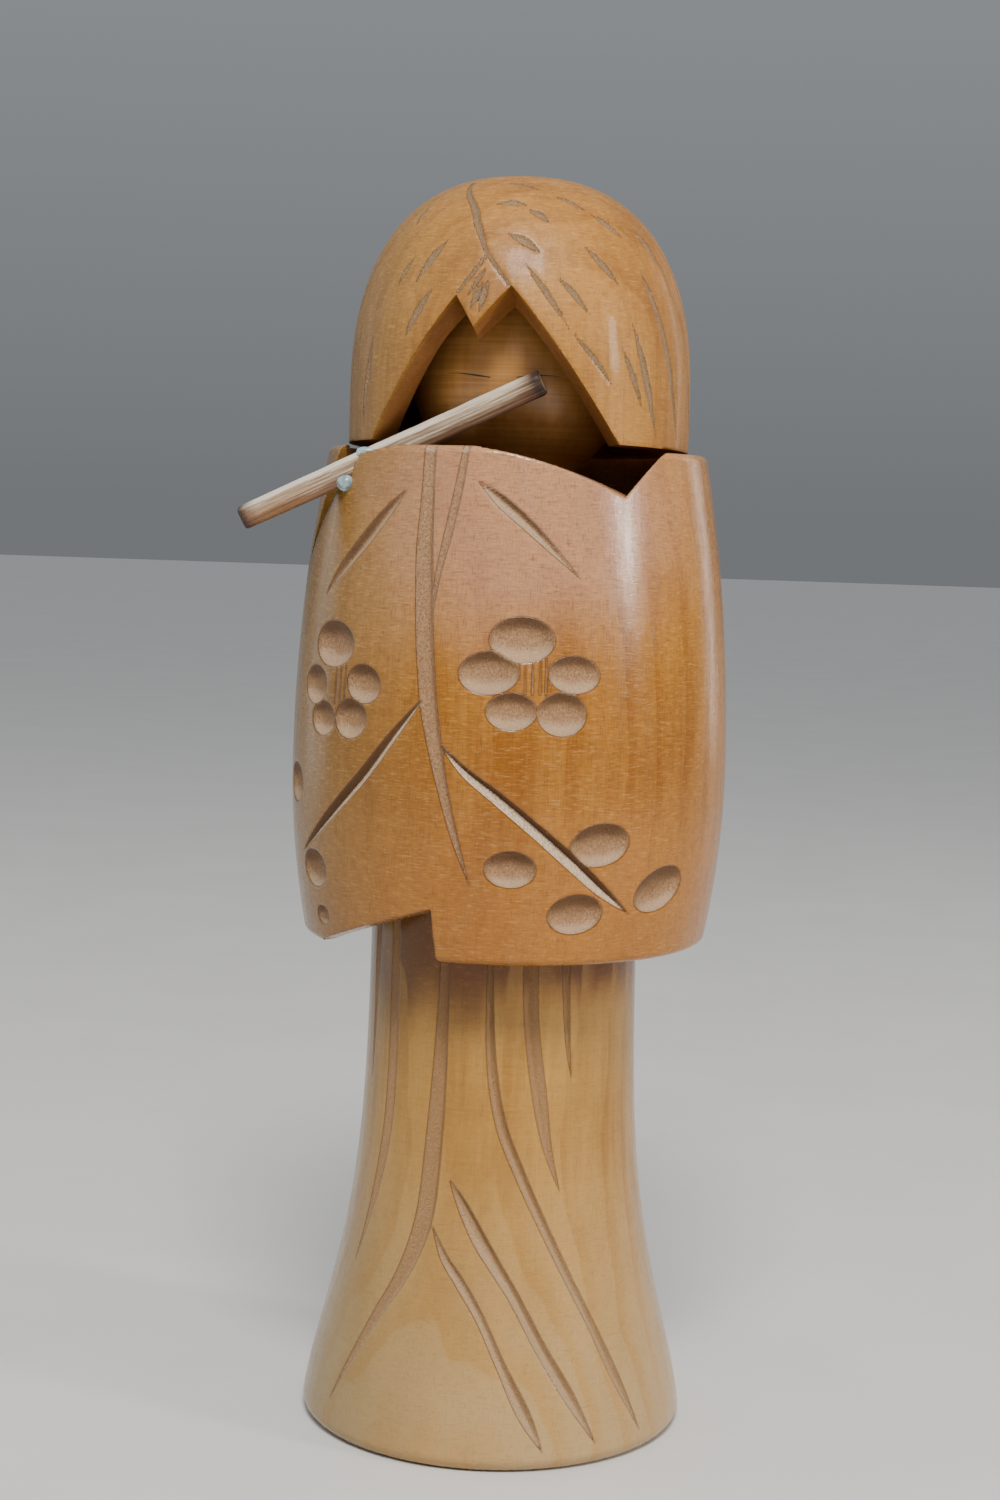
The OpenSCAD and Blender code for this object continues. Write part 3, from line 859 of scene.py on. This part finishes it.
def lacquered_wood(name, light, dark, raw, pith, seed, ring_gap, sheen_patch=None, tints_and_painted_light=(), weave=0.34,
                   ring_depth=0.14, ragged=0.1, polish=0.07, lip_share=0.5, grit=0.4,
                   bare_share=0.9, up_light_share=0.0, flank_shade=False):
    """Pale turned wood under amber lacquer, with raw wood in the carved cuts. The sheen patch is a centre, a
    reach and a colour for one patch of painted sheen. Each of the tints and painted light holds the height
    where another colour starts, the height where it is full, its share, and that colour."""
    s = Wood(name, seed)
    late = late_wood(s, pith, ring_gap)
    colour = wood_figure(s, light, dark, late, ring_depth, sheen_patch, tints_and_painted_light, weave)
    if flank_shade:
        colour = cap_flank_shade(s, colour)

    mark = s.stir(s.attribute("cut"), s.total((s.speckle, 0.4), (s.fibre, 0.6)), ragged)
    inside = s.span(mark, 0.0, 0.09)
    # A dark line along each cut's edge: partly lacquer pooled there, partly painted shade.
    lip = s.times(s.span(mark, -0.22, -0.02), s.span(mark, 0.12, 0.0))
    colour = s.tint(colour, EDGE, lip, lip_share)
    colour = s.tint(colour, bare_wood(s, mark, raw, grit, up_light_share), inside, bare_share)

    coated = s.math("SUBTRACT", 1.0, inside)
    dull = s.noise(s.place, (0.5, 0.5, 0.25), 4.0)
    gloss = s.total((dull, 0.14), (s.span(s.streak, 0.35, 0.7), 0.16), base=polish)
    rough = s.math("ADD", s.times(gloss, coated), s.times(inside, 0.5))
    relief = s.total((s.hatch, 0.6), (s.streak, 0.5), (s.fibre, 0.4))
    normal = s.bump(s.times(s.speckle, inside), 0.4, normal=s.bump(relief, 0.045))
    return s.surface(Base_Color=colour, Roughness=rough, Normal=normal, IOR=1.42, Coat_Roughness=0.1,
                     Coat_Weight=s.times(coated, 0.08))


def face_wood():
    """The face's browner wood, with the eye lines inked in."""
    s = Shader("face_wood_lacquer")
    place = s.millimetres()
    streak = s.noise(place, (0.8, 0.8, 0.05), 5.0, 0.6)
    turning = s.noise(place, (0.04, 0.04, 2.4), 4.0, 0.6)
    tone = s.total((streak, 0.35), (turning, 0.65))
    wood = s.mix(s.span(tone, 0.3, 0.78), rgb(186, 134, 72), rgb(150, 98, 44))
    colour = s.mix(s.span(s.attribute("cut"), -0.02, 0.06), wood, rgb(38, 26, 18))
    return s.surface(Base_Color=colour, Roughness=0.36, Coat_Weight=0.2, Coat_Roughness=0.18,
                     Normal=s.bump(tone, 0.04))


def peg_wood():
    """Plain pale birch."""
    s = Shader("dowel_birch")
    place = s.millimetres()
    streak = s.noise(place, (1.6, 1.6, 0.06), 5.0, 0.6)
    fibre = s.noise(place, (7.0, 7.0, 0.3))
    tone = s.total((streak, 0.8), (fibre, 0.3))
    colour = s.mix(s.span(tone, 0.35, 0.75), rgb(226, 200, 158), rgb(190, 154, 106))
    return s.surface(Base_Color=colour, Roughness=0.62, Normal=s.bump(tone, 0.05))


def bamboo_ends(s, colour, along, radius, fibre):
    """Scorched, then charred towards both ends of the flute, with a paler cut face."""
    ragged = s.stir(along, fibre, 2.6)
    inner = s.math("SUBTRACT", FLUTE_L, ragged)
    scorch = s.math("MAXIMUM", s.span(inner, 5.0, 1.2), s.span(ragged, 4.0, 0.6))
    colour = s.tint(colour, rgb(84, 48, 30), scorch, 0.82)
    char = s.math("MAXIMUM", s.span(inner, 2.2, 0.8), s.span(ragged, 1.5, 0.3))
    colour = s.tint(colour, rgb(40, 24, 17), char, 0.85)
    end = s.math("MAXIMUM", s.span(along, 0.06, 0.02), s.span(along, FLUTE_L - 0.06, FLUTE_L - 0.02))
    return s.tint(colour, rgb(196, 166, 124), s.times(end, s.span(radius, 1.75, 1.3)), 0.7)


def bamboo():
    """Whittled bamboo: pale fibres, a painted highlight along its top, browner along its underside, and
    scorched ends.
    """
    s = Shader("bamboo_split")
    place = s.attribute("place", "Vector")
    along, side, up = s.add("ShaderNodeSeparateXYZ", {0: place}).outputs
    fibre = s.noise(place, (0.05, 3.4, 3.4), 5.0, 0.7)
    thread = s.noise(place, (0.12, 9.0, 9.0), 3.0, 0.65)
    patch = s.noise(place, (0.09, 0.3, 0.3))
    tone = s.total((fibre, 0.75), (thread, 0.4))
    colour = s.mix(s.span(tone, 0.42, 0.7), rgb(216, 198, 170), rgb(128, 98, 70))
    # Painted highlight: paler along the top of the flute.
    colour = s.tint(colour, rgb(222, 212, 196), s.span(s.stir(up, patch, 1.6), 0.9, 1.6), 0.7)
    under = s.stir(up, patch, 2.4)
    colour = s.tint(colour, rgb(104, 66, 40), s.span(under, -0.5, -1.3), 0.85)
    # Browner towards the outer end, most of all along the underside.
    browner_outer_end = s.times(s.span(along, 24.0, 4.0), s.span(under, 2.2, -0.6))
    colour = s.tint(colour, rgb(142, 98, 56), browner_outer_end, 0.62)
    colour = s.tint(colour, rgb(96, 64, 40), s.span(thread, 0.60, 0.72), 0.5)
    radius = s.math("POWER", s.math("ADD", s.times(side, side), s.times(up, up)), 0.5)
    colour = bamboo_ends(s, colour, along, radius, fibre)
    relief = s.total((fibre, 0.7), (thread, 0.4))
    return s.surface(Base_Color=colour, Roughness=s.span(tone, 0.4, 0.8, 0.5, 0.68),
                     Normal=s.bump(relief, 0.12))


def clear_glue():
    """Dried glue: milky, a little blue, wet-looking."""
    s = Shader("glue_dried")
    milk = s.noise(s.millimetres(), (1.1, 1.1, 1.1), 4.0, 0.6)
    colour = s.mix(s.span(milk, 0.38, 0.66), rgb(158, 206, 214), rgb(226, 240, 242))
    return s.surface(Base_Color=colour, Roughness=0.14, IOR=1.48, Transmission_Weight=0.6,
                     Normal=s.bump(milk, 0.04))


def floor_material():
    """A pale, nearly even floor."""
    s = Shader("floor_pale")
    place = s.millimetres()
    grain = s.noise(place, (0.02, 0.02, 0.02), 4.0)
    fine = s.noise(place, (0.5, 0.5, 0.5))
    colour = s.mix(s.span(grain, 0.35, 0.65), rgb(205, 202, 197), rgb(202, 199, 194))
    return s.surface(Base_Color=colour, Roughness=0.62, Normal=s.bump(fine, 0.05))


# ---------------------------------------------------------------- the pieces

# The skirt's foot gets a paler, greyer band of painted sheen, and its top a dark band of painted shadow under
# the coat's hem.
skirt_material = lacquered_wood(
    "skirt_wood_lacquer", rgb(180, 134, 64), rgb(146, 100, 36), RAW, (14.0, 90.0, 0.35), 1, 5.0,
    tints_and_painted_light=((62.0, 0.0, 0.8, rgb(176, 148, 104)), (72.0, 84.0, 0.9, rgb(99, 50, 6))),
    weave=0.18, ring_depth=0.17, grit=0.15, bare_share=0.72, up_light_share=0.3)
# The coat's paler, pinker patch at the top front is painted sheen.
coat_material = lacquered_wood(
    "coat_wood_lacquer", rgb(172, 117, 48), rgb(130, 76, 14), RAW, (40.0, 70.0, 0.06), 2, 6.0,
    sheen_patch=((9.0, -37.0, 166.0), 38.0, rgb(173, 130, 108)),
    tints_and_painted_light=((125.0, 96.0, 0.6, rgb(162, 98, 24)),), weave=0.4, grit=0.45, up_light_share=0.3)
# The hair's raw wood is darker than the others': partly its own colour, partly painted shade in its knife
# strokes. Its cut faces and hollow get painted shade.
hair_material = lacquered_wood(
    "hair_wood_lacquer", rgb(168, 116, 46), rgb(132, 82, 18), rgb(142, 114, 82),
    (-30.0, 60.0, 0.1), 3, 4.5, ragged=1.3, polish=0.4, lip_share=0.16, grit=0.35, flank_shade=True)


def dress(piece, material, body, slot, *nodes):
    """Gives a piece its material, puts it under the body that moves it, and hides the nodes it stands for."""
    piece.data.materials.clear()
    piece.data.materials.append(material)
    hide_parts(*nodes)
    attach(piece, body)


dress(make_skirt(), skirt_material, "body", "skirt_wood", "skirt_pillar")
dress(make_coat(), coat_material, "body", "coat_wood", "coat_shell")
dress(make_hair(), hair_material, "head", "hair_wood", "hair_cap")
dress(make_face(), face_wood(), "head", "face_wood", "face_ball")
dress(make_flute(), bamboo(), "body", "bamboo", "flute")

glue = clear_glue()
drop = make_blob("glue_drop", BEAD_LOW, BEAD_HIGH, 1, (0.86, 0.8, 0.72))
streak = make_blob("glue_streak", SMEAR_LOW, SMEAR_HIGH, 4, (0.8, 0.7, 0.6))
dress(drop, glue, "body", "clear_glue", "glue_bead")
dress(streak, glue, "body", "clear_glue", "glue_smear")

peg = bpy.data.objects["neck_peg"]
peg.data.materials.clear()
peg.data.materials.append(peg_wood())

# ---------------------------------------------------------------- floor, light and camera

FLOOR_HALF = 6000.0
FLOOR_CORNERS = [(x * FLOOR_HALF, y * FLOOR_HALF, 0) for x, y in ((-1, -1), (1, -1), (1, 1), (-1, 1))]
floor = new_object("floor", FLOOR_CORNERS, [[0, 1, 2, 3]])
floor.data.materials.append(floor_material())

SKY_BELOW, SKY_ABOVE = (0.17, 0.18, 0.19, 1), (0.62, 0.65, 0.70, 1)
world = bpy.data.worlds.new("studio")
bpy.context.scene.world = world
world.use_nodes = True
sky = world.node_tree
upward = sky.nodes.new("ShaderNodeSeparateXYZ")
sky.links.new(sky.nodes.new("ShaderNodeTexCoord").outputs["Generated"], upward.inputs[0])
shade = sky.nodes.new("ShaderNodeValToRGB")
shade.color_ramp.elements[0].color = SKY_BELOW
shade.color_ramp.elements[1].color = SKY_ABOVE
sky.links.new(upward.outputs["Z"], shade.inputs[0])
sky.links.new(shade.outputs[0], sky.nodes["Background"].inputs["Color"])

AIM = np.array([0.0, 0.0, 0.115])       # the point all lights face, in metres


def soft_light(name, azimuth, elevation, distance, width, height, watts, colour):
    """A rectangular light, in metres, that stands at an azimuth and elevation and faces the doll."""
    a, e = radians(azimuth), radians(elevation)
    away = np.array([sin(a) * cos(e), -cos(a) * cos(e), sin(e)])
    lamp = bpy.data.lights.new(name, "AREA")
    lamp.shape, lamp.size, lamp.size_y = "RECTANGLE", width, height
    lamp.energy, lamp.color = watts, colour
    light = bpy.data.objects.new(name, lamp)
    bpy.context.scene.collection.objects.link(light)
    light.location = (AIM + away * distance).tolist()
    light.rotation_euler = Vector((-away).tolist()).to_track_quat("-Z", "Y").to_euler()


# Each light: name, azimuth, elevation, distance, width, height, watts and colour
LIGHTS = [
    ("front_light", 11, 52, 1.0, 0.34, 0.26, 13.5, (1.0, 0.98, 0.95)),
    ("window_strip", 73, 18.5, 0.8, 0.085, 0.2, 2.8, (1.0, 0.985, 0.96)),
    ("rim_strip", 141, 12, 0.9, 0.08, 0.5, 0.6, (0.88, 0.94, 1.0)),
    ("sky_light", -70, 25, 1.2, 1.0, 1.0, 2.2, (0.86, 0.93, 1.0)),
    ("left_rim", -112, 10, 1.0, 0.4, 0.6, 0.7, (0.84, 0.93, 1.0)),
]
for light in LIGHTS:
    soft_light(*light)

CAMERA_SPOT = (0.06796, -0.43975, 0.16274)      # metres
LENS, SENSOR = 60.24, 36.0
CLIP_NEAR, CLIP_FAR = 0.01, 50.0
VIEW_AZIMUTH, VIEW_DOWN, VIEW_ROLL = radians(9.0), radians(5.5), radians(1.69)


def camera_turn():
    """The camera's rotation: level and towards the doll, then rolled."""
    forward = Vector((-sin(VIEW_AZIMUTH) * cos(VIEW_DOWN), cos(VIEW_AZIMUTH) * cos(VIEW_DOWN),
                      -sin(VIEW_DOWN)))
    right = Vector((cos(VIEW_AZIMUTH), sin(VIEW_AZIMUTH), 0))
    level = Matrix((right, right.cross(forward), -forward)).transposed()
    return (level @ Matrix.Rotation(VIEW_ROLL, 3, "Z")).to_euler()


camera_data = bpy.data.cameras.new("camera")
camera_data.lens, camera_data.sensor_width = LENS, SENSOR
camera_data.clip_start, camera_data.clip_end = CLIP_NEAR, CLIP_FAR
camera = bpy.data.objects.new("camera", camera_data)
camera.location, camera.rotation_euler = CAMERA_SPOT, camera_turn()
bpy.context.scene.collection.objects.link(camera)
bpy.context.scene.camera = camera
